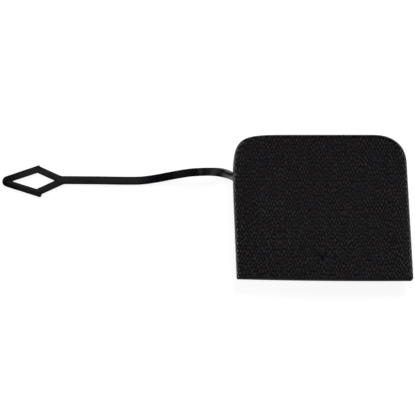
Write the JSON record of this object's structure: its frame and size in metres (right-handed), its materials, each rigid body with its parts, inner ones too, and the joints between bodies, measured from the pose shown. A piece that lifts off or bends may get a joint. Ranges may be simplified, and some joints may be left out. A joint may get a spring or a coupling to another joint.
{
  "type": "bumper tow hook cover",
  "caption": "Textured face plate for a bumper's towing-eye opening, with a skirt, clip hooks, a snap arm, and a retaining strap that ends in a diamond loop.",
  "frame": {"origin": "middle of the skirt's rim, on the plane that bears on the ledge of the bumper's recess", "axes": "+Z out of the face, +Y up the face, +X along its width, away from the strap"},
  "size_m": [0.2055, 0.0732, 0.0155],
  "materials": {
    "moulded_plastic": "black injection-moulded plastic: pebble grain on the face, satin on the back, hooks and strap"
  },
  "bodies": {
    "root": {"cover": "moulded_plastic"}
  },
  "joints": []
}
